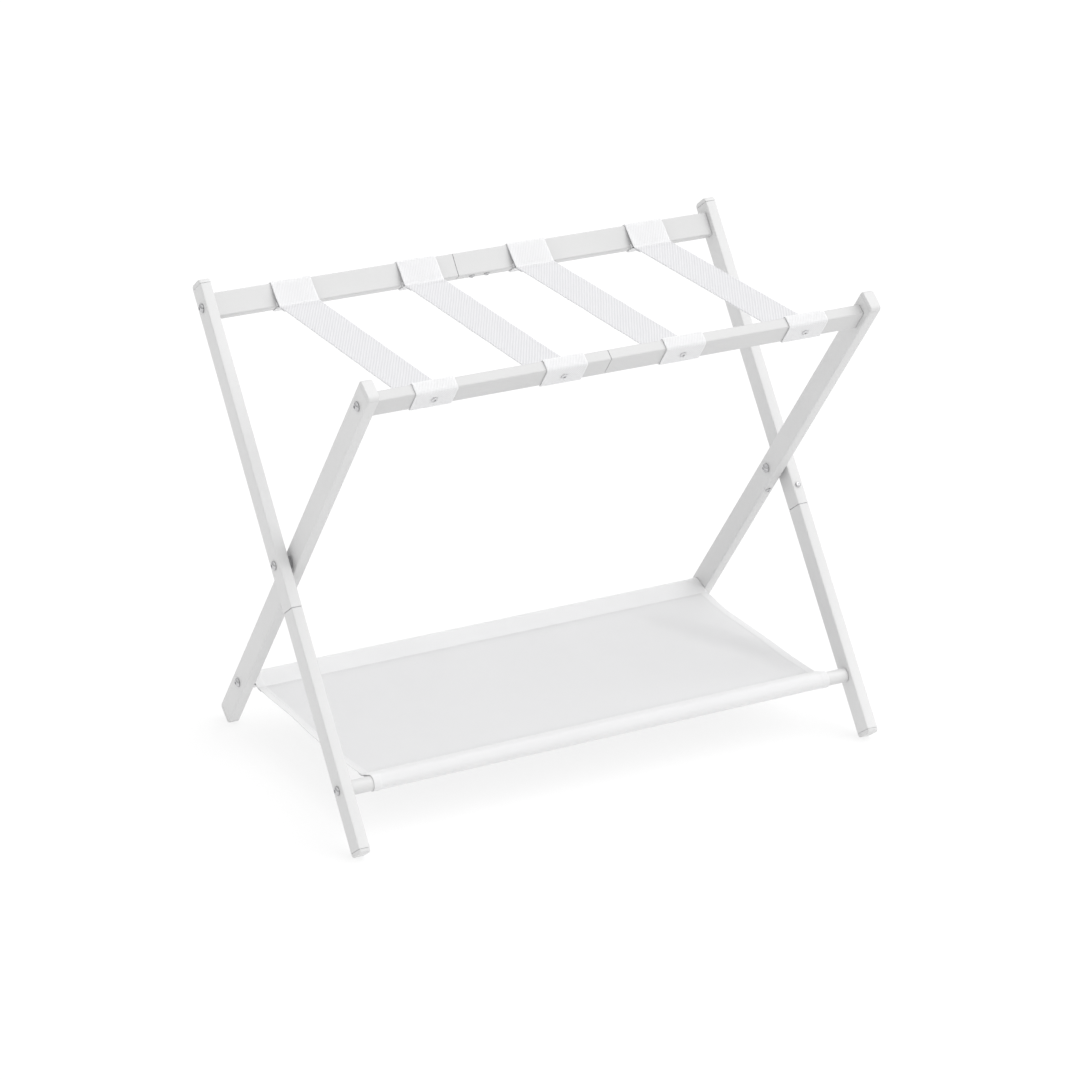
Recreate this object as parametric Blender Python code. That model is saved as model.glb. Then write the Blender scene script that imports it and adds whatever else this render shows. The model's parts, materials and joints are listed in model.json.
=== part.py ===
"""Folding luggage rack: two crossed tube frames on one pivot line, four webbing straps and a
fabric shelf. Metres, +Z up, standing open on z = 0 with the pivot line along X above the origin."""

import math

import bmesh
import bpy
from mathutils import Euler, Matrix, Vector

# Overall
WIDTH = 0.640            # across the outer legs
LEAN = math.radians(36.52)  # each frame from upright when the straps are taut
LEG_HALF = 0.321         # pivot to either end of a leg, caps included
LEG_WIDE = 0.0256        # leg tube, fore and aft
LEG_THICK = 0.0130       # leg tube, across
WALL = 0.0012
CORNER = 0.0016          # outer corner radius of the rectangular tubes
LEG_GAP = 0.0050         # between an outer leg and its inner leg
FIT = 0.0003             # gap kept between touching pieces
SEAM_GAP = 0.0006        # line that shows where two tubes meet

# Along a leg, from the pivot
RAIL_AT = 0.2918
BAR_AT = -0.2494
LEG_SEAM = -0.0508       # joint between the two tubes of an outer leg
LEG_JOINER = (-0.0830, -0.0170)
EDGE_SCREW_AT = -0.0285
CAP_HEAD = 0.0052
CAP_PLUG = 0.012
CAP_ROUND = 0.0045       # front and back edges of a cap's end

# Cross members
RAIL_TALL = 0.0272
RAIL_THICK = 0.0125
RAIL_SEAM = -0.0180
RAIL_JOINER = (-0.056, 0.048)
RAIL_JOINER_SCREWS = (0.0005, 0.0192)
RAIL_END = 0.0013        # gap between a rail and the leg it is bolted to
RAIL_PLUG = 0.008        # solid end of a rail or bar, which the bolt screws into
BAR_R = 0.0080

# Fasteners
BOLT_R = 0.0030
BOLT_HEAD_R = 0.0052
BOLT_HEAD = 0.0024
SCREW_R = 0.0015
SCREW_HEAD_R = 0.0033
SCREW_HEAD = 0.0017

# Soft pieces
STRAP_WIDE = 0.0475
STRAP_THICK = 0.0014
STRAP_SPAN_Z = 0.2296    # the free straps' middle above the pivot
STRAP_SPLIT_Y = 0.1535   # where a strap divides into its loop round the rail
STRAPS = (               # name, centre on the back rail, centre on the front rail
    ("left", -0.2146, -0.2193),
    ("mid_left", -0.0635, -0.0701),
    ("mid_right", 0.0734, 0.0706),
    ("right", 0.2240, 0.2198),
)
SHELF_LONG = 0.562
SHELF_THICK = 0.0008
SHELF_SAG = 0.0030
SLEEVE_R = 0.0083
SLEEVE_SEAM = 0.0232     # sewn line of the sleeve, from the middle of its bar
SLEEVE_STEPS = 16

OUTER_X = WIDTH / 2 - LEG_THICK / 2
INNER_X = OUTER_X - LEG_THICK - LEG_GAP
PIVOT_Z = ((LEG_HALF - CAP_ROUND) * math.cos(LEAN) + (LEG_WIDE / 2 - CAP_ROUND) * math.sin(LEAN)
           + CAP_ROUND)
SIDES = (("left", -1), ("right", 1))


def clear_scene():
    for old in list(bpy.data.objects):
        bpy.data.objects.remove(old, do_unlink=True)


def material(name, colour, roughness, metallic=0.0):
    made = bpy.data.materials.new(name)
    made.use_nodes = True
    made.diffuse_color = (*colour, 1)
    shader = made.node_tree.nodes["Principled BSDF"]
    shader.inputs["Base Color"].default_value = (*colour, 1)
    shader.inputs["Roughness"].default_value = roughness
    shader.inputs["Metallic"].default_value = metallic
    return made


def solid(name, bm, look, parent, at=(0, 0, 0), turn=(0, 0, 0), smooth=True):
    """One named object from a bmesh, placed under a frame's empty."""
    bmesh.ops.recalc_face_normals(bm, faces=bm.faces)
    mesh = bpy.data.meshes.new(name)
    bm.to_mesh(mesh)
    bm.free()
    made = bpy.data.objects.new(name, mesh)
    made.location = at
    made.rotation_euler = turn
    made.parent = parent
    if look:
        mesh.materials.append(look)
        bpy.context.scene.collection.objects.link(made)
    if smooth:
        mesh.shade_smooth()
        mesh.set_sharp_from_angle(angle=math.radians(35))
    return made


def rounded(wide, tall, radius, steps=2):
    """Outline of a rectangle centred on the origin, with rounded corners."""
    points = []
    for i, (sx, sy) in enumerate(((1, 1), (-1, 1), (-1, -1), (1, -1))):
        middle = Vector((sx * (wide / 2 - radius), sy * (tall / 2 - radius)))
        for k in range(steps + 1):
            angle = math.pi / 2 * (i + k / steps)
            points.append(middle + radius * Vector((math.cos(angle), math.sin(angle))))
    return points


def circle(radius, steps, start=0.0):
    return [
        Vector((radius * math.cos(start + math.tau * k / steps),
                radius * math.sin(start + math.tau * k / steps)))
        for k in range(steps)
    ]


def sweep(levels):
    """Solid along +Z through (z, outline) levels of equal point count, capped at both ends."""
    bm = bmesh.new()
    rings = [[bm.verts.new((p[0], p[1], z)) for p in outline] for z, outline in levels]
    for low, high in zip(rings, rings[1:]):
        for k in range(len(low)):
            nxt = (k + 1) % len(low)
            bm.faces.new((low[k], low[nxt], high[nxt], high[k]))
    bm.faces.new(list(reversed(rings[0])))
    bm.faces.new(rings[-1])
    return bm


def plate(outline, holes, wide):
    """Flat shape in YZ with holes through it, made wide along X about x = 0."""
    bm = bmesh.new()
    edges = []
    for loop in [outline, *holes]:
        verts = [bm.verts.new((-wide / 2, p[0], p[1])) for p in loop]
        edges += [bm.edges.new((verts[k - 1], verts[k])) for k in range(len(verts))]
    bmesh.ops.triangle_fill(bm, edges=edges, use_beauty=True, use_dissolve=False)
    grown = bmesh.ops.extrude_face_region(bm, geom=bm.faces[:])
    moved = [v for v in grown["geom"] if isinstance(v, bmesh.types.BMVert)]
    bmesh.ops.translate(bm, verts=moved, vec=(wide, 0, 0))
    return bm


def cutter(name, bm, parent, at=(0, 0, 0), turn=(0, 0, 0)):
    made = solid(name, bm, None, parent, at, turn, smooth=False)
    cutters.objects.link(made)
    made.display_type = "WIRE"
    made.hide_render = True
    return made


def cut(target, tool):
    modifier = target.modifiers.new(tool.name, "BOOLEAN")
    modifier.operation = "DIFFERENCE"
    modifier.solver = "EXACT"
    modifier.object = tool


def drill(target, radius, at, turn, deep, steps=12):
    """Round hole through the target, centred on a point of its frame."""
    bm = sweep([(-deep / 2, circle(radius, steps)), (deep / 2, circle(radius, steps))])
    number = len(cutters.objects)
    cut(target, cutter(f"cut_{number:02d}", bm, target.parent, at, turn))


ALONG_X = (0, math.pi / 2, 0)
ALONG_Y = (math.pi / 2, 0, 0)


def leg_tube(name, parent, x, low, high, bolts, edge_screw=None):
    """Open rectangular tube between two heights, drilled across for its bolts."""
    outside = rounded(LEG_THICK, LEG_WIDE, CORNER)
    inside = rounded(LEG_THICK - 2 * WALL, LEG_WIDE - 2 * WALL, CORNER / 2)
    made = solid(name, sweep([(low, outside), (high, outside)]), coat, parent)
    made.location.x = x
    bore = sweep([(low - 0.01, inside), (high + 0.01, inside)])
    cut(made, cutter(f"bore_{name}", bore, parent, (x, 0, 0)))
    for z in bolts:
        drill(made, BOLT_R + FIT, (x, 0, z), ALONG_X, 0.03)
    if edge_screw:
        drill(made, SCREW_R + FIT, (x, edge_screw * LEG_WIDE / 2, EDGE_SCREW_AT), ALONG_Y, 0.006)
    return made


def fastener(name, parent, at, turn, shank_r, shank, head_r, head, sides=12):
    """Domed head on +Z of its local origin, shank going down from it; the origin is under the
    head, on the face it holds."""
    bm = sweep([
        (-shank, circle(shank_r, sides)),
        (FIT, circle(shank_r, sides)),
        (FIT, circle(head_r, sides)),
        (FIT + head * 0.45, circle(head_r * 0.93, sides)),
        (FIT + head * 0.80, circle(head_r * 0.70, sides)),
        (FIT + head, circle(head_r * 0.38, sides)),
        (FIT + head * 0.55, circle(head_r * 0.30, sides)),
    ])
    return solid(name, bm, chrome, parent, at, turn)


def end_cap(name, parent, x, way):
    """Plastic cap with a rounded head over the tube's end and a plug inside it."""
    head = rounded(LEG_THICK, LEG_WIDE, CORNER)
    plug = rounded(LEG_THICK - 2 * WALL - 2 * FIT, LEG_WIDE - 2 * WALL - 2 * FIT, CORNER / 2)
    levels = [(-CAP_PLUG, plug), (FIT, plug), (FIT, head)]
    for k in range(1, 6):
        turn = math.pi / 2 * k / 5
        narrow = 1 - CAP_ROUND * (1 - math.cos(turn)) / (LEG_WIDE / 2)
        thin = 1 - 0.10 * (1 - math.cos(turn))
        levels.append((CAP_HEAD - CAP_ROUND * (1 - math.sin(turn)),
                       [Vector((p.x * thin, p.y * narrow)) for p in head]))
    made = solid(name, sweep(levels), plastic, parent)
    made.location = (x, 0, way * (LEG_HALF - CAP_HEAD))
    made.rotation_euler = (0, 0 if way > 0 else math.pi, 0)
    return made


def rail_half(name, parent, x_end, x_seam):
    """Half of a rectangular rail: a tube open at the seam, with a solid drilled end."""
    way = 1 if x_end > x_seam else -1
    outside = rounded(RAIL_TALL, RAIL_THICK, CORNER)
    inside = rounded(RAIL_TALL - 2 * WALL, RAIL_THICK - 2 * WALL, CORNER / 2)
    low, high = sorted((x_end, x_seam + way * SEAM_GAP / 2))
    made = solid(name, sweep([(low, outside), (high, outside)]), coat, parent,
                 (0, 0, RAIL_AT), ALONG_X)
    low, high = sorted((x_end - way * RAIL_PLUG, x_seam - way * 0.01))
    cut(made, cutter(f"bore_{name}", sweep([(low, inside), (high, inside)]), parent,
                     (0, 0, RAIL_AT), ALONG_X))
    drill(made, BOLT_R + FIT, (x_end, 0, RAIL_AT), ALONG_X, 2 * RAIL_PLUG + 0.004)
    return made


def rail_outline(side, spread):
    """The rail's section in world YZ about the pivot, grown by spread with round corners.
    side is +1 for the back rail and -1 for the front. It runs from the inner top corner over
    the rail to the inner bottom corner, where the webbing leaves it without wrapping."""
    along = Vector((side * math.sin(LEAN), math.cos(LEAN)))
    inward = Vector((-side * math.cos(LEAN), math.sin(LEAN)))
    points = []
    for i, j, first, last in ((1, 1, inward, along), (1, -1, along, -inward),
                              (-1, -1, -inward, -along)):
        corner = along * (RAIL_AT + i * RAIL_TALL / 2) + inward * (j * RAIL_THICK / 2)
        for blend in (0.0, 0.5, 1.0):
            points.append(corner + spread * (first * (1 - blend) + last * blend).normalized())
    corner = along * (RAIL_AT - RAIL_TALL / 2) + inward * (RAIL_THICK / 2)
    points.append(corner + spread * (Vector((0, -0.4)) - along).normalized())
    return points


def strap(name, x_back, x_front):
    """One webbing strap: a flat span that divides at each end into a loop round its rail."""
    half = STRAP_THICK / 2
    outline, holes = [], []
    for side in (1, -1):
        split = Vector((side * STRAP_SPLIT_Y, STRAP_SPAN_Z))
        ring = [split + Vector((0, half)), *rail_outline(side, FIT + STRAP_THICK),
                split - Vector((0, half))]
        outline += ring if side > 0 else list(reversed(ring))
        holes.append([split + Vector((side * 0.0017, 0.0003)), *rail_outline(side, FIT)])
    bm = plate(outline, holes, STRAP_WIDE)
    for v in bm.verts:
        v.co.x += x_front + (x_back - x_front) * (0.5 + v.co.y / (2 * RAIL_AT * math.sin(LEAN)))
    return solid(f"strap_{name}", bm, webbing, None, (0, 0, PIVOT_Z), smooth=False)


def shelf():
    """Fabric sling between the two lower bars. At each bar its edge wraps round and is sewn to
    the sheet, which leaves a teardrop sleeve with its point at the seam."""
    bar = Vector((-BAR_AT * math.sin(LEAN), BAR_AT * math.cos(LEAN)))
    seam = bar.x - SLEEVE_SEAM
    drops = ((-1, 0), (-0.6, 0.7), (-0.25, 1), (0.25, 1), (0.6, 0.7), (1, 0))
    sheet = [Vector((seam * y, bar.y + SHELF_THICK / 2 - SHELF_SAG * drop)) for y, drop in drops]
    under = [point - Vector((0, SHELF_THICK)) for point in sheet]
    leaves = math.pi - math.acos(SLEEVE_R / SLEEVE_SEAM)
    around = [leaves * (1 - 2 * k / SLEEVE_STEPS) for k in range(SLEEVE_STEPS + 1)]
    sleeves, holes = [], []
    for side in (1, -1):
        for radius, found in ((SLEEVE_R + SHELF_THICK, sleeves), (SLEEVE_R, holes)):
            found.append([
                Vector((side * (bar.x + radius * math.cos(a)), bar.y + radius * math.sin(a)))
                for a in around
            ])
        holes[-1].append(Vector((side * (seam + SHELF_THICK), bar.y)))
    back, front = sleeves
    loop = sheet + back + list(reversed(under)) + list(reversed(front))
    return solid("shelf_fabric", plate(loop, holes, SHELF_LONG), canvas, None, (0, 0, PIVOT_Z),
                 smooth=False)


clear_scene()
cutters = bpy.data.collections.new("cutters")
bpy.context.scene.collection.children.link(cutters)
cutters.hide_render = True

coat = material("white_powder_coat", (0.86, 0.86, 0.87), 0.42)
plastic = material("white_cap_plastic", (0.84, 0.84, 0.85), 0.5)
chrome = material("bright_steel", (0.80, 0.80, 0.81), 0.18, 1.0)
zinc = material("plain_steel", (0.55, 0.56, 0.58), 0.4, 1.0)
nylon = material("grey_nylon", (0.32, 0.32, 0.33), 0.55)
webbing = material("white_webbing", (0.87, 0.87, 0.89), 0.85)
canvas = material("white_canvas", (0.82, 0.82, 0.83), 0.9)

frames = {}
for frame, lean in (("outer_frame", -LEAN), ("inner_frame", LEAN)):
    hub = bpy.data.objects.new(frame, None)
    hub.location = (0, 0, PIVOT_Z)
    hub.rotation_euler = Euler((lean, 0, 0))
    bpy.context.scene.collection.objects.link(hub)
    frames[frame] = hub
outer, inner = frames["outer_frame"], frames["inner_frame"]


# Legs: the outer ones are two tubes joined on an inner sleeve, the inner ones are one tube each.
tube_end = LEG_HALF - CAP_HEAD
for side, way in SIDES:
    x = way * OUTER_X
    edge = -way
    leg_tube(f"outer_leg_{side}_upper", outer, x, LEG_SEAM + SEAM_GAP / 2, tube_end,
             (RAIL_AT, 0), edge)
    leg_tube(f"outer_leg_{side}_lower", outer, x, -tube_end, LEG_SEAM - SEAM_GAP / 2, (BAR_AT,))
    leg_tube(f"inner_leg_{side}", inner, way * INNER_X, -tube_end, tube_end,
             (RAIL_AT, 0, BAR_AT), edge)
    wide, thick = LEG_WIDE - 2 * WALL - 2 * FIT, LEG_THICK - 2 * WALL - 2 * FIT
    low, high = LEG_JOINER
    joiner = solid(f"outer_leg_{side}_joiner",
                   sweep([(low, rounded(thick, wide, CORNER / 2)),
                          (high, rounded(thick, wide, CORNER / 2))]), zinc, outer, (x, 0, 0))
    hollow = rounded(thick - 2 * WALL, wide - 2 * WALL, CORNER / 4)
    cut(joiner, cutter(f"bore_{joiner.name}",
                       sweep([(low - 0.01, hollow), (high + 0.01, hollow)]), outer, (x, 0, 0)))
    drill(joiner, SCREW_R + FIT, (x, edge * wide / 2, EDGE_SCREW_AT), ALONG_Y, 0.006)
    for frame, leg, leg_x in ((outer, "outer", x), (inner, "inner", way * INNER_X)):
        end_cap(f"{leg}_cap_{side}_top", frame, leg_x, 1)
        end_cap(f"{leg}_cap_{side}_foot", frame, leg_x, -1)
        fastener(f"{leg}_leg_screw_{side}", frame, (leg_x, edge * LEG_WIDE / 2, EDGE_SCREW_AT),
                 (-edge * math.pi / 2, 0, 0), SCREW_R, 0.005, SCREW_HEAD_R, SCREW_HEAD)

# Rails: each is two tubes joined on an inner channel, screwed from below.
for name, frame, half in (("back_rail", outer, OUTER_X - LEG_THICK / 2 - RAIL_END),
                          ("front_rail", inner, INNER_X - LEG_THICK / 2 - RAIL_END)):
    halves = [rail_half(f"{name}_{side}", frame, way * half, RAIL_SEAM) for side, way in SIDES]
    tall, thick = RAIL_TALL - 2 * WALL - 2 * FIT, RAIL_THICK - 2 * WALL - 2 * FIT
    low, high = RAIL_JOINER
    joiner = solid(f"{name}_joiner",
                   sweep([(low, rounded(tall, thick, CORNER / 2)),
                          (high, rounded(tall, thick, CORNER / 2))]),
                   zinc, frame, (0, 0, RAIL_AT), ALONG_X)
    hollow = rounded(tall - 2 * WALL, thick - 2 * WALL, CORNER / 4)
    cut(joiner, cutter(f"bore_{joiner.name}",
                       sweep([(low - 0.01, hollow), (high + 0.01, hollow)]),
                       frame, (0, 0, RAIL_AT), ALONG_X))
    for number, screw_x in enumerate(RAIL_JOINER_SCREWS, 1):
        at = (screw_x, 0, RAIL_AT - RAIL_TALL / 2)
        for piece in (halves[1], joiner):
            drill(piece, SCREW_R + FIT, at, (0, 0, 0), 0.008)
        fastener(f"{name}_joiner_screw_{number}", frame, at, (math.pi, 0, 0),
                 SCREW_R, 0.0045, SCREW_HEAD_R, SCREW_HEAD)

# Lower bars: round tubes with solid drilled ends.
for name, frame, leg_x in (("front_bar", outer, OUTER_X), ("back_bar", inner, INNER_X)):
    half = leg_x - LEG_THICK / 2 - FIT
    bar = solid(name, sweep([(-half, circle(BAR_R, 20)), (half, circle(BAR_R, 20))]), coat, frame,
                (0, 0, BAR_AT), ALONG_X)
    hollow = circle(BAR_R - WALL, 20)
    cut(bar, cutter(f"bore_{name}", sweep([(RAIL_PLUG - half, hollow), (half - RAIL_PLUG, hollow)]),
                    frame, (0, 0, BAR_AT), ALONG_X))
    for _, way in SIDES:
        drill(bar, BOLT_R + FIT, (way * half, 0, BAR_AT), ALONG_X, 2 * RAIL_PLUG + 0.004)

# Bolts through the legs into the rails and bars, and the pivot of each crossing.
for side, way in SIDES:
    for frame, leg, leg_x in ((outer, "outer", OUTER_X), (inner, "inner", INNER_X)):
        face = way * (leg_x + LEG_THICK / 2)
        for name, height in (("rail", RAIL_AT), ("bar", BAR_AT)):
            fastener(f"{leg}_{name}_bolt_{side}", frame, (face, 0, height),
                     (0, way * math.pi / 2, 0), BOLT_R, LEG_THICK + 0.006, BOLT_HEAD_R,
                     BOLT_HEAD)
    span = 2 * LEG_THICK + LEG_GAP
    fastener(f"pivot_bolt_{side}", outer, (way * (OUTER_X + LEG_THICK / 2), 0, 0),
             (0, way * math.pi / 2, 0), BOLT_R, span + 0.0030, BOLT_HEAD_R, BOLT_HEAD)
    washer_x = way * (OUTER_X - LEG_THICK / 2 - LEG_GAP / 2)
    thick = LEG_GAP - 2 * FIT
    spacer = solid(f"pivot_spacer_{side}",
                   sweep([(-thick / 2, circle(0.0072, 20)), (thick / 2, circle(0.0072, 20))]),
                   nylon, outer, (washer_x, 0, 0), ALONG_X)
    drill(spacer, BOLT_R + FIT, (washer_x, 0, 0), ALONG_X, 0.02)
    nut = sweep([
        (0.0042, circle(BOLT_R + FIT, 12)), (FIT, circle(BOLT_R + FIT, 12)),
        (FIT, circle(0.0052, 12)), (0.0032, circle(0.0050, 12)),
        (0.0050, circle(0.0036, 12)), (0.0056, circle(0.0016, 12)),
    ])
    solid(f"pivot_nut_{side}", nut, chrome, inner, (way * (INNER_X - LEG_THICK / 2), 0, 0),
          (0, -way * math.pi / 2, 0))

# Soft pieces, and the screw that holds each strap loop to the outer face of its rail.
outer_face = RAIL_THICK / 2 + FIT + STRAP_THICK
for name, x_back, x_front in STRAPS:
    loop = strap(name, x_back, x_front)
    for rail, frame, x, away in (("back", outer, x_back, 1), ("front", inner, x_front, -1)):
        at = Vector((x, away * outer_face, RAIL_AT))
        fastener(f"strap_screw_{name}_{rail}", frame, at, (-away * math.pi / 2, 0, 0),
                 SCREW_R, 0.006, 0.0036, 0.0015)
        half = bpy.data.objects[f"{rail}_rail_{'left' if x < RAIL_SEAM else 'right'}"]
        drill(half, SCREW_R + FIT, at, ALONG_Y, 0.012)
        drill(loop, SCREW_R + FIT, at, ALONG_Y, 0.012)
        hole = cutters.objects[-1]
        hole.parent = frame
shelf()
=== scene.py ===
import json
import math

import bmesh
import bpy
from mathutils import Matrix, Vector, noise

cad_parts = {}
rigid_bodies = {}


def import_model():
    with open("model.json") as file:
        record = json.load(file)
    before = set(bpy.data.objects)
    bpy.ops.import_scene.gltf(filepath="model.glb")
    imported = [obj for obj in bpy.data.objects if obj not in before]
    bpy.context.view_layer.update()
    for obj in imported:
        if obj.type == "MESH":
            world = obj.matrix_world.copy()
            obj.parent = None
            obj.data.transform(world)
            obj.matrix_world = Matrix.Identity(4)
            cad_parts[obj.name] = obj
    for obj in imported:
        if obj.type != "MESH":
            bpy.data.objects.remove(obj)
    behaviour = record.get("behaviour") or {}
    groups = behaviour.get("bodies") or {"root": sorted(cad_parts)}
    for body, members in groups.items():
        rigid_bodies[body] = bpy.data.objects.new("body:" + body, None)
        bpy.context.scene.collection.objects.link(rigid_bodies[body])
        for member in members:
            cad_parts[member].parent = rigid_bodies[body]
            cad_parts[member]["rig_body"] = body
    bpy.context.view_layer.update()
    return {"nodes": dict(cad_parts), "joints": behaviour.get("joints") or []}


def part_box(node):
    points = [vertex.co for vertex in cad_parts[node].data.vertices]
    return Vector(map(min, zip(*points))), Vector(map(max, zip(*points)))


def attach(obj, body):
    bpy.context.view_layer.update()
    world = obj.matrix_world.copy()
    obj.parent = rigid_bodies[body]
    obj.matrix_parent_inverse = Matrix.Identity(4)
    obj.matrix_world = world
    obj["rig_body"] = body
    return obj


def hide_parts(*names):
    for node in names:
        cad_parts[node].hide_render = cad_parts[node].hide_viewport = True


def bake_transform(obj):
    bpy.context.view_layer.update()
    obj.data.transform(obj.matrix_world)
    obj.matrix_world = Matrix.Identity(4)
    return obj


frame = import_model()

# ---------------------------------------------------------------------------------------------
# The camera stands to the left of the front, a little above the rack, with a long lens.
pivot = Vector(frame["joints"][0]["pos_m"])
camera_data = bpy.data.cameras.new("camera")
camera_data.lens, camera_data.sensor_width = 126.88, 36
camera = bpy.data.objects.new("camera", camera_data)
bpy.context.scene.collection.objects.link(camera)
bpy.context.scene.camera = camera
camera_azimuth, camera_elevation, camera_roll = map(math.radians, (-28.178, 22.607, 0.198))
camera_distance = 4.1692
camera.rotation_euler = (math.pi / 2 - camera_elevation, 0, camera_azimuth)
camera.rotation_euler.rotate_axis("Z", camera_roll)
to_right, to_up, to_back = camera.rotation_euler.to_matrix().transposed()
aim = pivot - 0.00115 * to_right - 0.02993 * to_up
camera.location = aim + camera_distance * to_back

# ---------------------------------------------------------------------------------------------
# A white studio: a wide, faintly glowing pale floor, a soft room that is brighter overhead than
# at the sides, and one very large, soft lamp above the right side.
floor_mesh = bmesh.new()
bmesh.ops.create_grid(floor_mesh, x_segments=2, y_segments=2, size=40)
floor_data = bpy.data.meshes.new("floor")
floor_mesh.to_mesh(floor_data)
floor_mesh.free()
floor = bpy.data.objects.new("floor", floor_data)
bpy.context.scene.collection.objects.link(floor)
floor_paint = bpy.data.materials.new("floor_paint")
floor_paint.use_nodes = True
floor_shader = floor_paint.node_tree.nodes["Principled BSDF"]
floor_shader.inputs["Base Color"].default_value = (0.30, 0.30, 0.30, 1)
floor_shader.inputs["Roughness"].default_value = 0.9
floor_shader.inputs["Specular IOR Level"].default_value = 0.0
floor_shader.inputs["Emission Color"].default_value = (1, 1, 1, 1)
floor_shader.inputs["Emission Strength"].default_value = 0.70
floor_data.materials.append(floor_paint)

room = bpy.data.worlds.new("room")
bpy.context.scene.world = room
room.use_nodes = True
room_nodes, room_links = room.node_tree.nodes, room.node_tree.links
way = room_nodes.new("ShaderNodeTexCoord")
split_way = room_nodes.new("ShaderNodeSeparateXYZ")
room_links.new(way.outputs["Generated"], split_way.inputs["Vector"])
height_ramp = room_nodes.new("ShaderNodeValToRGB")
room_links.new(split_way.outputs["Z"], height_ramp.inputs["Fac"])
for stop, height, glow in zip(height_ramp.color_ramp.elements, (0.0, 0.9), (0.56, 1.0)):
    stop.position = height
    stop.color = (glow, glow, glow, 1)
room_links.new(height_ramp.outputs["Color"], room_nodes["Background"].inputs["Color"])
room_nodes["Background"].inputs["Strength"].default_value = 1.0

key_data = bpy.data.lights.new("key", "SUN")
key_data.energy = 1.35
key_data.angle = math.radians(70)
key = bpy.data.objects.new("key", key_data)
bpy.context.scene.collection.objects.link(key)
key.rotation_euler = Vector((0.55, -0.35, 0.76)).to_track_quat("Z", "Y").to_euler()

bpy.context.scene.view_settings.view_transform = "Standard"


# ---------------------------------------------------------------------------------------------
# Legs: rectangular steel tube under a satin white powder coat. The coat has a faint orange-peel
# ripple, and its gloss varies a little along each tube.
def new_material(name, colour, roughness, metallic=0.0):
    """A finish with its shader's own constant values: the material, its node tree and the shader."""
    made = bpy.data.materials.new(name)
    made.use_nodes = True
    shader = made.node_tree.nodes["Principled BSDF"]
    shader.inputs["Base Color"].default_value = (*colour, 1)
    shader.inputs["Roughness"].default_value = roughness
    shader.inputs["Metallic"].default_value = metallic
    return made, made.node_tree, shader


def noise_over(tree, scale, detail=2.0):
    """Noise that stays with the piece, scale in cells a metre."""
    place = tree.nodes.new("ShaderNodeTexCoord")
    texture = tree.nodes.new("ShaderNodeTexNoise")
    texture.inputs["Scale"].default_value = scale
    texture.inputs["Detail"].default_value = detail
    tree.links.new(place.outputs["Object"], texture.inputs["Vector"])
    return texture.outputs["Fac"]


def vary_colour(tree, shader, source, dark, light):
    ramp = tree.nodes.new("ShaderNodeValToRGB")
    for stop, place, colour in zip(ramp.color_ramp.elements, (0.3, 0.7), (dark, light)):
        stop.position = place
        stop.color = (*colour, 1)
    tree.links.new(source, ramp.inputs["Fac"])
    tree.links.new(ramp.outputs["Color"], shader.inputs["Base Color"])


def vary_roughness(tree, shader, source, low, high):
    span = tree.nodes.new("ShaderNodeMapRange")
    span.inputs["To Min"].default_value = low
    span.inputs["To Max"].default_value = high
    tree.links.new(source, span.inputs["Value"])
    tree.links.new(span.outputs["Result"], shader.inputs["Roughness"])


def emboss(tree, shader, source, depth):
    bump = tree.nodes.new("ShaderNodeBump")
    bump.inputs["Strength"].default_value = 1.0
    bump.inputs["Distance"].default_value = depth
    tree.links.new(source, bump.inputs["Height"])
    tree.links.new(bump.outputs["Normal"], shader.inputs["Normal"])


powder_coat, tree, shader = new_material("powder_coat", (0.705, 0.705, 0.705), 0.4)
vary_colour(tree, shader, noise_over(tree, 9), (0.695, 0.695, 0.695), (0.715, 0.715, 0.715))
vary_roughness(tree, shader, noise_over(tree, 60), 0.34, 0.46)
emboss(tree, shader, noise_over(tree, 700), 0.00006)


def finish_node(node, material, edge=0.0002):
    """A frame piece keeps its shape; its edges are eased and its faces shaded as one skin."""
    piece = frame["nodes"][node]
    piece.data.materials.clear()
    piece.data.materials.append(material)
    weld = piece.modifiers.new("weld", "WELD")
    weld.merge_threshold = 0.00002
    ease = piece.modifiers.new("ease", "BEVEL")
    ease.width = edge
    ease.segments = 2
    ease.limit_method = "ANGLE"
    ease.angle_limit = math.radians(50)
    ease.use_clamp_overlap = True
    even = piece.modifiers.new("skin", "WEIGHTED_NORMAL")
    even.keep_sharp = False


for name in frame["nodes"]:
    if "_leg_" in name and "screw" not in name and "joiner" not in name:
        finish_node(name, powder_coat)

# ---------------------------------------------------------------------------------------------
# End caps: moulded white plastic with a rounded head that covers the tube's end, a little duller
# than the paint. Their plugs are pushed into the open tubes.
cap_plastic, tree, shader = new_material("cap_plastic", (0.70, 0.70, 0.70), 0.5)
vary_colour(tree, shader, noise_over(tree, 30), (0.695, 0.695, 0.695), (0.71, 0.71, 0.71))
vary_roughness(tree, shader, noise_over(tree, 120), 0.44, 0.56)
emboss(tree, shader, noise_over(tree, 1500), 0.00003)
for name in frame["nodes"]:
    if "_cap_" in name:
        finish_node(name, cap_plastic, 0.0001)

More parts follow.
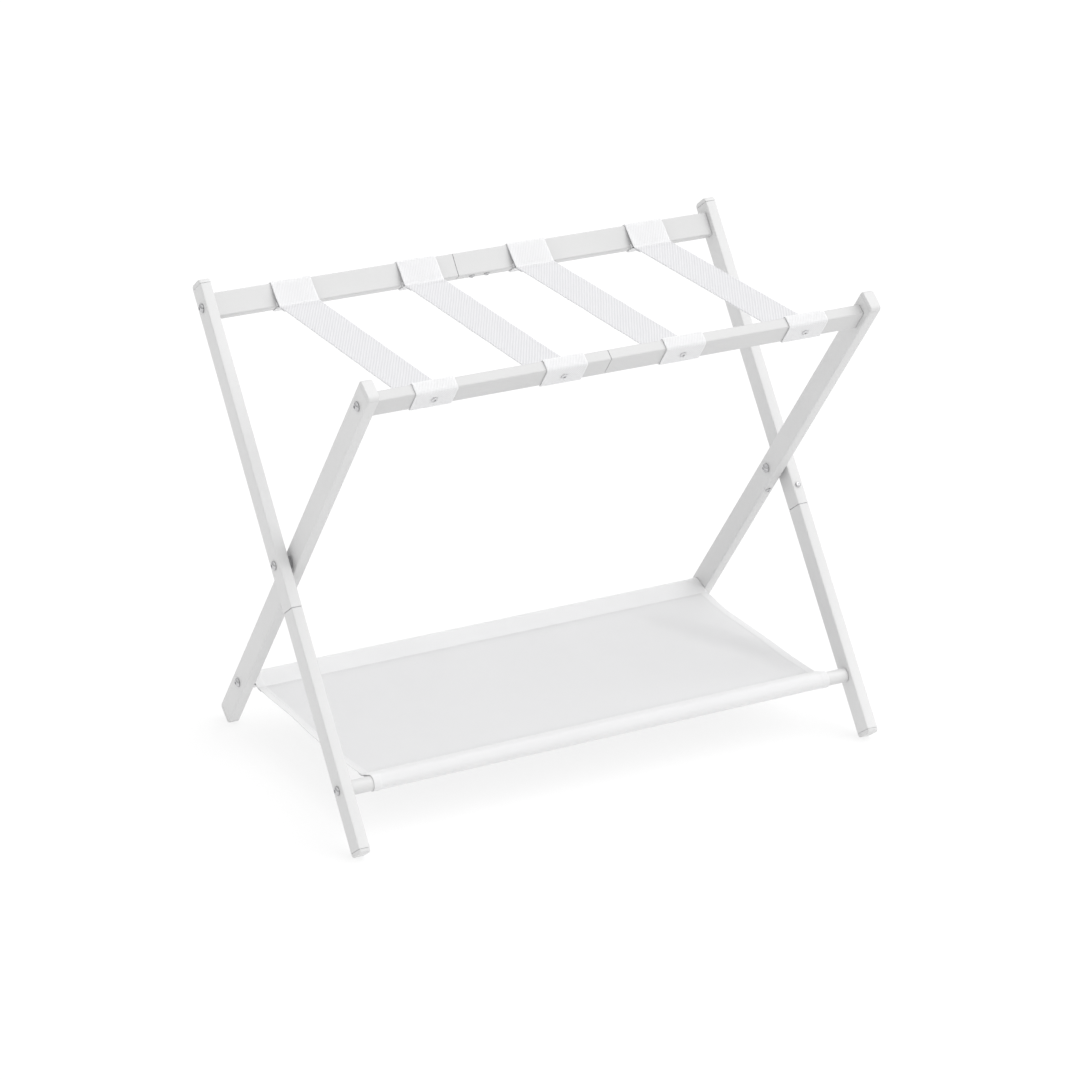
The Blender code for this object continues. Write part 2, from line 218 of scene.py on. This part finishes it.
# ---------------------------------------------------------------------------------------------
# Joiners and pivot spacers. The joiners are plain steel tube and channel that hold two lengths in
# line from inside. The spacers are grey nylon rings that keep the crossed legs apart.
plain_steel, tree, shader = new_material("plain_steel", (0.55, 0.56, 0.58), 0.4, 1.0)
vary_colour(tree, shader, noise_over(tree, 50), (0.50, 0.51, 0.53), (0.58, 0.59, 0.61))
vary_roughness(tree, shader, noise_over(tree, 200), 0.32, 0.5)
nylon, tree, shader = new_material("nylon", (0.32, 0.32, 0.33), 0.5)
vary_colour(tree, shader, noise_over(tree, 80), (0.30, 0.30, 0.31), (0.34, 0.34, 0.35))
vary_roughness(tree, shader, noise_over(tree, 200), 0.45, 0.6)
for name in frame["nodes"]:
    if name.endswith("joiner"):
        finish_node(name, plain_steel, 0.0001)
    elif "spacer" in name:
        finish_node(name, nylon)

# ---------------------------------------------------------------------------------------------
# Top rails: rectangular tube in the same coat, painted a little darker as painted shade, each in two
# lengths pushed over an inner joiner.
# A bolt through each leg pulls the rail's open end up to the leg.
def middle(node):
    low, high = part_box(node)
    return (low + high) / 2


def skin(name, rows, material, cloth=None, backed_painted_light=None):
    """Closed skin through rings of points. cloth gives each point's place on the flat cloth, and the
    last list says how far each point is doubled or lies on steel, where its material paints the
    cloth paler as painted light."""
    mesh = bpy.data.meshes.new(name)
    count = len(rows[0])
    order = [[k * count + j for j in range(count)] for k in range(len(rows))]
    faces = [(a[j], a[(j + 1) % count], b[(j + 1) % count], b[j])
             for a, b in zip(order, order[1:]) for j in range(count)]
    faces += [tuple(reversed(order[0])), tuple(order[-1])]
    mesh.from_pydata([p for row in rows for p in row], [], faces)
    store_cloth(mesh, cloth, backed_painted_light)
    ordered = bmesh.new()
    ordered.from_mesh(mesh)
    bmesh.ops.recalc_face_normals(ordered, faces=ordered.faces)
    ordered.to_mesh(mesh)
    ordered.free()
    mesh.shade_smooth()
    mesh.set_sharp_from_angle(angle=math.radians(38))
    mesh.materials.append(material)
    piece = bpy.data.objects.new(name, mesh)
    bpy.context.scene.collection.objects.link(piece)
    even = piece.modifiers.new("skin", "WEIGHTED_NORMAL")
    even.keep_sharp = True
    return piece


def store_cloth(mesh, cloth, backed_painted_light):
    if cloth is None:
        return
    flat = [place for row in cloth for place in row]
    corners = mesh.uv_layers.new(name="cloth").data
    for corner, loop in zip(corners, mesh.loops):
        corner.uv = flat[loop.vertex_index]
    share = mesh.attributes.new("backed_painted_light", "FLOAT", "POINT")
    share.data.foreach_set("value", [value for row in backed_painted_light for value in row])


def tube_outline(tall, thick, corner):
    """Rounded rectangle as (up, out) pairs, four steps to a corner."""
    found = []
    for quarter, (up, out) in enumerate(((1, 1), (-1, 1), (-1, -1), (1, -1))):
        for k in range(5):
            turn = math.pi / 2 * (quarter + k / 4)
            found.append((up * (tall / 2 - corner) + corner * math.cos(turn),
                          out * (thick / 2 - corner) + corner * math.sin(turn)))
    return found


# The legs' powder coat with a lower colour: the difference is painted shade standing in for the
# shade on the rails' faces.
painted_shade_rail_coat, tree, shader = new_material("painted_shade_rail_coat", (0.64, 0.64, 0.64), 0.4)
vary_colour(tree, shader, noise_over(tree, 9), (0.632, 0.632, 0.632), (0.65, 0.65, 0.65))
vary_roughness(tree, shader, noise_over(tree, 60), 0.34, 0.46)
emboss(tree, shader, noise_over(tree, 700), 0.00006)
rail_y, rail_z = middle("back_rail_left").y, middle("back_rail_left").z
lean = math.atan2(rail_y, rail_z - pivot.z)
rail_at = math.hypot(rail_y, rail_z - pivot.z)
rail_tall, rail_thick, rail_corner = 0.0272, 0.0125, 0.0016
leg_gap, rail_edge = 0.0003, 0.0002
for rail, body, tilt in (("back", "outer_frame", lean), ("front", "inner_frame", -lean)):
    up = Vector((0, math.sin(tilt), math.cos(tilt)))
    out = Vector((0, math.cos(tilt), -math.sin(tilt)))
    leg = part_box("outer_leg_left_upper" if rail == "back" else "inner_leg_left")[1].x + leg_gap
    for side, way in (("left", 1), ("right", -1)):
        low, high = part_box(f"{rail}_rail_{side}")
        start, stop = (leg, high.x) if way > 0 else (low.x, -leg)
        centre = up * rail_at + Vector((0, 0, pivot.z))
        rows = []
        for x, inset in ((start, rail_edge), (start + rail_edge, 0), (stop - rail_edge, 0),
                         (stop, rail_edge)):
            outline = tube_outline(rail_tall - 2 * inset, rail_thick - 2 * inset, rail_corner)
            rows.append([centre + up * u + out * o + Vector((x, 0, 0)) for u, o in outline])
        tube = skin(f"tube_{rail}_rail_{side}", rows, painted_shade_rail_coat)
        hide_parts(f"{rail}_rail_{side}")
        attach(tube, body)

# ---------------------------------------------------------------------------------------------
# Lower bars: round steel tube in the same coat. Each runs through a sleeve of the shelf and is
# bolted at both ends, so only a short bare length shows beside each leg.
def spin(name, rings, sides, material, place):
    """Round piece through (distance along, radius or outline) rings, moved by the matrix place."""
    turns = [math.tau * k / sides for k in range(sides)]
    rows = []
    for along, outline in rings:
        reach = [outline(turn) if callable(outline) else outline for turn in turns]
        rows.append([place @ Vector((r * math.cos(turn), r * math.sin(turn), along))
                     for r, turn in zip(reach, turns)])
    return skin(name, rows, material)


bar_y, bar_z = middle("back_bar").y, middle("back_bar").z
bar_radius, bar_bore, bar_bore_deep, bar_edge = 0.0080, 0.0033, 0.008, 0.0004
for node, body in (("front_bar", "outer_frame"), ("back_bar", "inner_frame")):
    low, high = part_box(node)
    half = (high.x - low.x) / 2
    rings = [(-half + bar_bore_deep, bar_bore), (-half, bar_bore), (-half, bar_radius - bar_edge),
             (-half + bar_edge, bar_radius), (half - bar_edge, bar_radius),
             (half, bar_radius - bar_edge), (half, bar_bore), (half - bar_bore_deep, bar_bore)]
    place = Matrix.Translation(middle(node)) @ Matrix.Rotation(math.pi / 2, 4, "Y")
    bar = spin(f"round_{node}", rings, 64, powder_coat, place)
    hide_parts(node)
    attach(bar, body)

# ---------------------------------------------------------------------------------------------
# Bolts, nuts and screws: bright plated steel. Bolts and nuts have a low dome with a hex socket,
# screws a pan head with a cross recess. Each head is turned round its axis, its recess sunk in.
bright_steel, tree, shader = new_material("bright_steel", (0.55, 0.55, 0.56), 0.16, 1.0)
vary_colour(tree, shader, noise_over(tree, 300), (0.50, 0.50, 0.51), (0.60, 0.60, 0.61))
vary_roughness(tree, shader, noise_over(tree, 500), 0.10, 0.20)
pale_steel, tree, shader = new_material("pale_steel", (0.66, 0.66, 0.67), 0.3, 1.0)
vary_colour(tree, shader, noise_over(tree, 300), (0.62, 0.62, 0.63), (0.70, 0.70, 0.71))
vary_roughness(tree, shader, noise_over(tree, 500), 0.24, 0.38)


def hexagon(across):
    """Outline of a hex socket, as a radius for each turn."""
    return lambda turn: across / 2 / math.cos((turn + math.pi / 6) % (math.pi / 3) - math.pi / 6)


def cross(arm, wide):
    """Outline of a cross recess, as a radius for each turn."""
    def reach(turn):
        off_arm = abs((turn + math.pi / 4) % (math.pi / 2) - math.pi / 4)
        return min(arm, wide / 2 / max(math.sin(off_arm), 1e-6))
    return reach


nut_bore, nut_bore_deep = 0.0033, 0.0034


def fasten(node, axis, radius, height, recess, deep, rim, proud=0.0, steel=bright_steel):
    """Turned head and shank over a CAD fastener whose head points along axis. rim is the radius
    where the dome gives way to the recess, and proud how far the dome passes the CAD head."""
    points = [v.co for v in frame["nodes"][node].data.vertices]
    tip = max(p.dot(axis) for p in points)
    tail = min(p.dot(axis) for p in points)
    centre = sum(points, Vector()) / len(points)
    seat = centre + axis * (tip + proud - height - centre.dot(axis))
    shank, skirt = 0.0030 if radius > 0.0045 else 0.0015, 0.0005
    end = tail - tip - proud + height
    if "nut" in node:
        rings = [(nut_bore_deep, nut_bore), (0.0, nut_bore)]
    else:
        rings = [(end, shank * 0.8), (end + 0.0006, shank), (0.0, shank)]
    rings += [(0.0, radius * 0.95), (0.0002, radius), (skirt, radius)]
    steps = 9
    for k in range(1, steps + 1):
        swing = math.pi / 2 * k / steps
        if radius * math.cos(swing) < rim:
            break
        rings.append((skirt + (height - skirt) * math.sin(swing), radius * math.cos(swing)))
    lip = skirt + (height - skirt) * math.sqrt(1 - (rim / radius) ** 2)
    rings += [(lip, rim), (lip + 0.00002, lambda turn: recess(turn) * 1.05),
              (lip - 0.0002, recess), (lip - deep, lambda turn: recess(turn) * 0.9)]
    place = Matrix.Translation(seat) @ axis.to_track_quat("Z", "Y").to_matrix().to_4x4()
    piece = spin(f"turned_{node}", rings, 72, steel, place)
    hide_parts(node)
    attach(piece, frame["nodes"][node]["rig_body"])


bolt_radius, bolt_tall, nut_tall, screw_radius, screw_tall = 0.0052, 0.0036, 0.0053, 0.0033, 0.0019
out_along = Vector((0, math.sin(lean), math.cos(lean)))
in_along = Vector((0, -math.sin(lean), math.cos(lean)))
out_edge = Vector((0, -math.cos(lean), math.sin(lean)))
in_edge = Vector((0, -math.cos(lean), -math.sin(lean)))
for side, way in (("left", -1), ("right", 1)):
    outward = Vector((way, 0, 0))
    for bolt in ("outer_rail", "outer_bar", "inner_rail", "inner_bar", "pivot"):
        fasten(f"{bolt}_bolt_{side}", outward, bolt_radius, bolt_tall, hexagon(0.0034), 0.0018,
               rim=0.0024, proud=0.0012)
    fasten(f"pivot_nut_{side}", -outward, bolt_radius, nut_tall, hexagon(0.0026), 0.0010,
           rim=0.0019)
    for leg, edge in (("outer", out_edge), ("inner", in_edge)):
        fasten(f"{leg}_leg_screw_{side}", edge * way, screw_radius, screw_tall,
               cross(0.0017, 0.0007), 0.0010, rim=0.0019)
for rail, along, edge in (("back", out_along, out_edge), ("front", in_along, in_edge)):
    for number in (1, 2):
        fasten(f"{rail}_rail_joiner_screw_{number}", -along, screw_radius, screw_tall,
               cross(0.0017, 0.0007), 0.0010, rim=0.0019)
    for name in ("left", "mid_left", "mid_right", "right"):
        outer_face = -edge if rail == "back" else edge
        fasten(f"strap_screw_{name}_{rail}", outer_face, 0.0036, 0.0017, cross(0.0018, 0.0007),
               0.0007, rim=0.0020, steel=pale_steel)

# ---------------------------------------------------------------------------------------------
# Straps: 47.5 mm ribbed white webbing. Each is one length that wraps both rails, comes back under
# itself and is sewn down; a screw through the loop holds it on the rail's outer face.
webbing, tree, shader = new_material("webbing", (0.76, 0.76, 0.775), 0.85)
shader.inputs["Sheen Weight"].default_value = 0.2
shader.inputs["Sheen Roughness"].default_value = 0.5
shader.inputs["Specular IOR Level"].default_value = 0.3
shader.inputs["Subsurface Weight"].default_value = 0.5
shader.inputs["Subsurface Radius"].default_value = (1, 1, 1)
shader.inputs["Subsurface Scale"].default_value = 0.003


def math_node(tree, operation, first, second=None):
    """One sum on two numbers or node outputs."""
    node = tree.nodes.new("ShaderNodeMath")
    node.operation = operation
    for socket, value in zip(node.inputs, (first, second)):
        if value is None:
            continue
        if isinstance(value, (int, float)):
            socket.default_value = value
        else:
            tree.links.new(value, socket)
    return node.outputs[0]


def cloth_lines(tree, across, along):
    """0 to 1 wave over the cloth's own across and along lengths, in waves a metre."""
    place = tree.nodes.new("ShaderNodeUVMap")
    place.uv_map = "cloth"
    split = tree.nodes.new("ShaderNodeSeparateXYZ")
    tree.links.new(place.outputs["UV"], split.inputs["Vector"])
    phase_across = math_node(tree, "MULTIPLY", split.outputs["X"], math.tau * across)
    phase_along = math_node(tree, "MULTIPLY", split.outputs["Y"], math.tau * along)
    wave = math_node(tree, "SINE", math_node(tree, "ADD", phase_across, phase_along))
    return math_node(tree, "MULTIPLY_ADD", wave, 0.5)


def paint_backing_light(tree, shader, pattern, single_painted_shade, doubled_painted_light):
    """Painted light: cloth over steel or over itself is painted paler, and a single layer darker,
    for the light that a single layer lets through.
    """
    ramps = []
    for dark, light in (single_painted_shade, doubled_painted_light):
        ramp = tree.nodes.new("ShaderNodeValToRGB")
        ramp.color_ramp.elements[0].color = (*dark, 1)
        ramp.color_ramp.elements[1].color = (*light, 1)
        tree.links.new(pattern, ramp.inputs["Fac"])
        ramps.append(ramp.outputs["Color"])
    painted_light_mask = tree.nodes.new("ShaderNodeAttribute")
    painted_light_mask.attribute_name = "backed_painted_light"
    blend = tree.nodes.new("ShaderNodeMix")
    blend.data_type = "RGBA"
    tree.links.new(painted_light_mask.outputs["Fac"], blend.inputs["Factor"])
    tree.links.new(ramps[0], blend.inputs["A"])
    tree.links.new(ramps[1], blend.inputs["B"])
    tree.links.new(blend.outputs["Result"], shader.inputs["Base Color"])


ribs = math_node(tree, "MULTIPLY", cloth_lines(tree, 300, 160), 0.85)
picks = math_node(tree, "MULTIPLY", cloth_lines(tree, 0, 900), 0.15)
weave = math_node(tree, "ADD", ribs, picks)
# The doubled loops are painted paler than the single span: painted light for the light a single
# layer lets through.
paint_backing_light(tree, shader, weave, ((0.60, 0.60, 0.615), (0.70, 0.70, 0.715)),
               ((0.765, 0.765, 0.775), (0.80, 0.80, 0.81)))
emboss(tree, shader, weave, 0.0001)
vary_roughness(tree, shader, noise_over(tree, 200), 0.78, 0.92)


def arc(centre, radius, first, last, step=math.radians(12)):
    """Points anticlockwise round centre from angle first to angle last."""
    while last < first:
        last += math.tau
    count = max(1, math.ceil((last - first) / step))
    return [centre + radius * Vector((math.cos(first + (last - first) * k / count),
                                      math.sin(first + (last - first) * k / count)))
            for k in range(count + 1)]


def wrap(start, pins, radius, stop):
    """Taut path from start, anticlockwise round equal pins, to stop."""
    def leaving(a, b):
        """Angle round pin a at which the path leaves it for pin b."""
        way = (b - a).normalized()
        return math.atan2(-way.x, way.y)

    def touching(point, pin, sign):
        """Where a straight run through point touches pin."""
        way = pin - point
        swing = sign * math.asin(radius / way.length)
        turned = Matrix.Rotation(swing, 2) @ way.normalized()
        return point + turned * math.sqrt(way.length_squared - radius ** 2)

    first = touching(start, pins[0], -1) - pins[0]
    last = touching(stop, pins[-1], 1) - pins[-1]
    angles = [math.atan2(first.y, first.x)]
    angles += [leaving(a, b) for a, b in zip(pins, pins[1:])]
    angles.append(math.atan2(last.y, last.x))
    path = [start]
    for pin, begin, end in zip(pins, angles, angles[1:]):
        path += arc(pin, radius, begin, end)
    return path + [stop]


def bend(before, corner, after, reach, steps=5):
    """Short curve that eases the corner between two straight runs."""
    a = corner + (before - corner).normalized() * reach
    b = corner + (after - corner).normalized() * reach
    return [(a * (1 - t) ** 2 + corner * 2 * t * (1 - t) + b * t * t)
            for t in (k / steps for k in range(steps + 1))]


def filled(path, step):
    """The same path with no run longer than step."""
    found = [path[0]]
    for a, b in zip(path, path[1:]):
        count = max(1, math.ceil((b - a).length / step))
        found += [a.lerp(b, k / count) for k in range(1, count + 1)]
    return found


def there_and_back(half_path):
    """A path that ends on the middle line, with its mirror image added in reverse."""
    return half_path + [Vector((-p.x, p.y)) for p in reversed(half_path)]


strap_wide, strap_thick, strap_clear, layer_gap = 0.0475, 0.0014, 0.0003, 0.0001
span_z = 0.2296
seam_at = Vector((0.1535, span_z))
tail_long = 0.012
rail_up = Vector((math.sin(lean), math.cos(lean)))
rail_in = Vector((-math.cos(lean), math.sin(lean)))
pins = [rail_up * (rail_at + i * (rail_tall / 2 - rail_corner))
        + rail_in * j * (rail_thick / 2 - rail_corner)
        for i, j in ((-1, 1), (-1, -1), (1, -1), (1, 1))]
under = seam_at - Vector((0, strap_thick + layer_gap))
loop = wrap(under, pins, rail_corner + strap_clear + strap_thick / 2, seam_at)
tail_end = under - Vector((tail_long, 0))
strap_path = there_and_back(filled(
    [tail_end, *bend(tail_end, under, loop[1], 0.002), *loop[1:-1],
     *bend(loop[-2], seam_at, Vector((0, span_z)), 0.003), Vector((0.0005, span_z))], 0.004))


def frames_along(path):
    """(point, normal, length so far) for each point of a path in YZ."""
    found, gone = [], 0.0
    for k, point in enumerate(path):
        ahead = path[min(k + 1, len(path) - 1)] - path[max(k - 1, 0)]
        way = ahead.normalized()
        gone += (point - path[k - 1]).length if k else 0.0
        found.append((point, Vector((way.y, -way.x)), gone))
    return found


def webbing_section():
    """Ring of (across, out) points: flat faces, a slightly thicker selvedge, round edges."""
    half, plain, thick_edge = strap_wide / 2, strap_thick / 2, strap_thick / 2 + 0.00012
    top = [(-half + 0.0007, thick_edge * 0.86), (-half + 0.0013, thick_edge),
           (-half + 0.0022, thick_edge), (-half + 0.0030, plain)]
    top += [(x * (half - 0.0030), plain) for x in (-0.75, -0.5, -0.25, 0, 0.25, 0.5, 0.75)]
    top += [(-x, z) for x, z in reversed(top[:4])]
    bottom = [(x, -z) for x, z in reversed(top)]
    return top + [(half - 0.0001, 0.0004), (half, 0), (half - 0.0001, -0.0004)] + bottom + [
        (-half + 0.0001, -0.0004), (-half, 0), (-half + 0.0001, 0.0004)]


def smooth_step(value):
    value = min(max(value, 0.0), 1.0)
    return value * value * (3 - 2 * value)


ring = webbing_section()
strap_frames = frames_along(strap_path)
thread, tree, shader = new_material("thread", (0.80, 0.80, 0.81), 0.6)
vary_colour(tree, shader, noise_over(tree, 900), (0.77, 0.77, 0.78), (0.82, 0.82, 0.83))
vary_roughness(tree, shader, noise_over(tree, 900), 0.5, 0.7)


def add_stitch(bm, start, stop, up, radius=0.00022, rise=0.00015):
    """One short arched thread between two points on a surface whose outside is up."""
    way = (stop - start).normalized()
    across = way.cross(up).normalized()
    rings = []
    for t in (0.0, 0.2, 0.5, 0.8, 1.0):
        centre = start.lerp(stop, t) + up * (rise * math.sin(math.pi * t) - radius * 0.5)
        thin = radius * (0.55 + 0.45 * math.sin(math.pi * t))
        rings.append([bm.verts.new(centre + across * thin * math.cos(a) + up * thin * math.sin(a))
                      for a in (math.tau * k / 6 for k in range(6))])
    for first, second in zip(rings, rings[1:]):
        for k in range(6):
            after = (k + 1) % 6
            bm.faces.new((first[k], first[after], second[after], second[k])).smooth = True
    bm.faces.new(list(reversed(rings[0])))
    bm.faces.new(rings[-1])


def stitching(name, bm):
    """The finished row of stitches as one piece of thread."""
    bmesh.ops.recalc_face_normals(bm, faces=bm.faces)
    mesh = bpy.data.meshes.new(name)
    bm.to_mesh(mesh)
    bm.free()
    mesh.materials.append(thread)
    piece = bpy.data.objects.new(name, mesh)
    bpy.context.scene.collection.objects.link(piece)
    return piece


stitch_long, strap_stitch_pitch = 0.0027, 0.0034
strap_rows = (0.0022, 0.0085)
for number, name in enumerate(("left", "mid_left", "mid_right", "right")):
    x_back = middle(f"strap_screw_{name}_back").x
    x_front = middle(f"strap_screw_{name}_front").x

    def centre_x(y):
        return x_front + (x_back - x_front) * (0.5 + y / (2 * rail_y))

    grid, uvs, backed_painted_light = [], [], []
    for point, out, gone in strap_frames:
        # Painted light mask: from the seam on, where the webbing is doubled round the rail, it is
        # painted paler.
        backed_painted_light.append([smooth_step((abs(point.x) - seam_at.x + 0.004) / 0.003)] * len(ring))
        wander = 0.0004 * noise.noise(Vector((gone * 45, number * 7.3, 0)))
        row, places = [], []
        for across, lift in ring:
            edge = abs(across) / (strap_wide / 2)
            shift = wander + 0.00035 * edge ** 4 * noise.noise(
                Vector((gone * 160, number * 3.1, math.copysign(5, across))))
            spot = point + out * lift
            row.append((centre_x(spot.x) + across + shift, spot.x, pivot.z + spot.y))
            places.append((across, gone))
        grid.append(row)
        uvs.append(places)
    strap = skin(f"webbing_{name}", grid, webbing, uvs, backed_painted_light)
    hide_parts(f"strap_{name}")
    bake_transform(strap)

    bm = bmesh.new()
    for side in (1, -1):
        for row_at in strap_rows:
            y = side * (seam_at.x - row_at)
            for face_z, up in ((span_z + strap_thick / 2, 1), (under.y - strap_thick / 2, -1)):
                count = int((strap_wide - 0.004) / strap_stitch_pitch)
                for k in range(count):
                    x = centre_x(y) + (k - (count - 1) / 2) * strap_stitch_pitch
                    ends = [Vector((x + move, y, pivot.z + face_z))
                            for move in (-stitch_long / 2, stitch_long / 2)]
                    add_stitch(bm, *ends, Vector((0, 0, up)))
    sewing = stitching(f"stitching_{name}", bm)
    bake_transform(sewing)

# ---------------------------------------------------------------------------------------------
# Shelf: one piece of plain-woven white polyester, hemmed at both sides. Its front and back edges
# wrap a lower bar and are sewn back to the sheet, so it hangs as a taut sling with two sleeves.
canvas, tree, shader = new_material("canvas", (0.76, 0.76, 0.765), 0.9)
shader.inputs["Sheen Weight"].default_value = 0.2
shader.inputs["Specular IOR Level"].default_value = 0.25
shader.inputs["Subsurface Weight"].default_value = 0.4
shader.inputs["Subsurface Radius"].default_value = (1, 1, 1)
shader.inputs["Subsurface Scale"].default_value = 0.002
yarn = 0.0009
warp, weft = cloth_lines(tree, 1 / yarn, 0), cloth_lines(tree, 0, 1 / yarn)
plain_weave = math_node(tree, "MULTIPLY", warp, weft)
# The sleeves and the turned-under hems are painted paler than the single sheet: painted light for
# the light a single layer lets through.
paint_backing_light(tree, shader, noise_over(tree, 40, 3), ((0.678, 0.678, 0.683), (0.692, 0.692, 0.697)),
               ((0.81, 0.81, 0.815), (0.825, 0.825, 0.83)))
emboss(tree, shader, plain_weave, 0.00008)
vary_roughness(tree, shader, noise_over(tree, 300), 0.84, 0.95)

shelf_half, cloth_thick, hem_wide = 0.2810, 0.0007, 0.0085
sleeve_clear, sleeve_seam, allowance = 0.00015, 0.0232, 0.007
bar_drop = bar_z - pivot.z
bar_pin = Vector((bar_y, bar_drop))
shelf_seam = Vector((bar_y - sleeve_seam, bar_drop))
shelf_under = shelf_seam - Vector((0, cloth_thick + layer_gap))
sleeve = wrap(shelf_under, [bar_pin], bar_radius + sleeve_clear + cloth_thick / 2, shelf_seam)
shelf_tail = shelf_under - Vector((allowance, 0))
shelf_path = there_and_back(filled(
    [shelf_tail, *bend(shelf_tail, shelf_under, sleeve[1], 0.0015), *sleeve[1:-1],
     *bend(sleeve[-2], shelf_seam, Vector((0, bar_drop)), 0.0015), Vector((0.001, bar_drop))],
    0.004))


def sling(x, y):
    """How far the sheet hangs below its seams at (x, y). A slanting fold cuts off the back right
    corner, which is pulled up tight, as is the rim on that side."""
    part = abs(y / shelf_seam.x)
    if part >= 1:
        return 0.0
    across = (1 - part ** 2) * (1 - 0.35 * part ** 4)
    corner = (x - 0.180) - (0.1286 - y) * 0.49
    trough = 0.0022 * math.exp(-((corner + 0.016) / 0.035) ** 2)
    rise = 0.0078 * smooth_step((corner + 0.014) / 0.036)
    ripple = 0.0003 * noise.noise(Vector((x * 9, y * 14, 3)))
    rim = 0.8 * smooth_step((x - shelf_half + 0.035) / 0.035)
    return across * ((0.0072 + trough - rise) * (1 - rim) + ripple)


leg_face = -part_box("inner_leg_left")[1].x - 0.0004


def side_edge(side, y):
    """How far the cloth reaches to one side at y: nearly to the inner legs at the back."""
    front_reach, widens_at = (0.2807, 0.05) if side > 0 else (0.2815, 0.04)
    return front_reach + (leg_face - front_reach) * smooth_step((y - widens_at) / 0.09)


def pinch(x, point):
    """How far the under layer of a sleeve rises near the sheet's sides, where the hem draws it up
    to the upper layer and closes the sleeve between the seam and the bar."""
    from_seam = abs(point.x) - shelf_seam.x
    if from_seam <= 0 or point.y > bar_drop:
        return 0.0
    near_side = smooth_step((abs(x) - shelf_half + 0.030) / 0.028)
    near_seam = 1 - smooth_step((from_seam - 0.003) / 0.015)
    slope = math.tan(math.asin(bar_radius / sleeve_seam))
    return 2 * from_seam * slope * near_side * near_seam


hem_lift = 0.0003


def hem_columns():
    """(x, lift) across the cloth: the turned-under hems lie a little proud at both sides."""
    steps = (0, 0.0004, 0.0012, 0.003, 0.005, 0.0072, 0.0080, 0.0088, 0.0096, 0.012)
    left = [(-shelf_half + step, hem_lift * smooth_step((0.0092 - step) / 0.0015))
            for step in steps]
    inner = [(x / 48 * (shelf_half - 0.016), 0.0) for x in range(-48, 49)]
    return left + inner + [(-x, lift) for x, lift in reversed(left)]


columns = hem_columns()
grid, uvs, backed_painted_light = [], [], []
shelf_frames = frames_along(shelf_path)
for point, out, gone in shelf_frames:
    row, places, painted_light_shares = [], [], []
    sleeved = smooth_step((abs(point.x) - shelf_seam.x + 0.0015) / 0.0015)
    pucker_at = max(0.0, 1 - abs(abs(point.x) - shelf_seam.x) / 0.012)
    for flat_x, lift in columns:
        edge = side_edge(flat_x, point.x)
        x = flat_x + math.copysign(edge - shelf_half, flat_x) * (abs(flat_x) / shelf_half) ** 4
        drop = sling(x, point.x) if abs(point.x) < shelf_seam.x else 0.0
        pucker = 0.00022 * pucker_at * noise.noise(Vector((x * 90, math.copysign(4, point.x), 0)))
        spot = point + out * lift
        row.append((x, spot.x, pivot.z + spot.y - drop + pucker + pinch(flat_x, point)))
        places.append((flat_x, gone))
        # Painted light mask: full in the sleeves, half on the hems, where the cloth is painted
        # paler.
        painted_light_shares.append(max(sleeved, 0.5 * smooth_step((abs(flat_x) - shelf_half + hem_wide) / 0.001)))
    grid.append(row)
    uvs.append(places)
    backed_painted_light.append(painted_light_shares)


def cloth_piece(name, grid, uvs, backed_painted_light, material, thick):
    """Open sheet through rows of points, made thick by a modifier."""
    mesh = bpy.data.meshes.new(name)
    count = len(grid[0])
    faces = [(i * count + j, i * count + count + j, i * count + count + j + 1, i * count + j + 1)
             for i in range(len(grid) - 1) for j in range(count - 1)]
    mesh.from_pydata([p for row in grid for p in row], [], faces)
    store_cloth(mesh, uvs, backed_painted_light)
    mesh.shade_smooth()
    mesh.materials.append(material)
    piece = bpy.data.objects.new(name, mesh)
    bpy.context.scene.collection.objects.link(piece)
    thickness = piece.modifiers.new("thickness", "SOLIDIFY")
    thickness.thickness = thick
    thickness.offset = 0
    return piece


shelf = cloth_piece("sling_shelf", grid, uvs, backed_painted_light, canvas, cloth_thick)
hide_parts("shelf_fabric")
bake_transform(shelf)

bm = bmesh.new()
shelf_stitch_pitch, seam_row, hem_row = 0.0036, 0.0022, 0.0015
for side in (1, -1):
    y = side * (shelf_seam.x - seam_row)
    count = int((2 * shelf_half - 0.006) / shelf_stitch_pitch)
    for k in range(count):
        x = (k - (count - 1) / 2) * shelf_stitch_pitch
        z = bar_z - sling(x, y) + cloth_thick / 2
        add_stitch(bm, Vector((x - stitch_long / 2, y, z)), Vector((x + stitch_long / 2, y, z)),
                   Vector((0, 0, 1)))
    count = int((2 * shelf_seam.x - 0.010) / shelf_stitch_pitch)
    for k in range(count):
        middle_y = (k - (count - 1) / 2) * shelf_stitch_pitch
        ends = []
        for y in (middle_y - stitch_long / 2, middle_y + stitch_long / 2):
            x = side * (side_edge(side, y) - hem_wide + hem_row)
            ends.append(Vector((x, y, bar_z - sling(x, y) + cloth_thick / 2 + hem_lift)))
        add_stitch(bm, *ends, Vector((0, 0, 1)))
sewing = stitching("stitching_shelf", bm)
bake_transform(sewing)
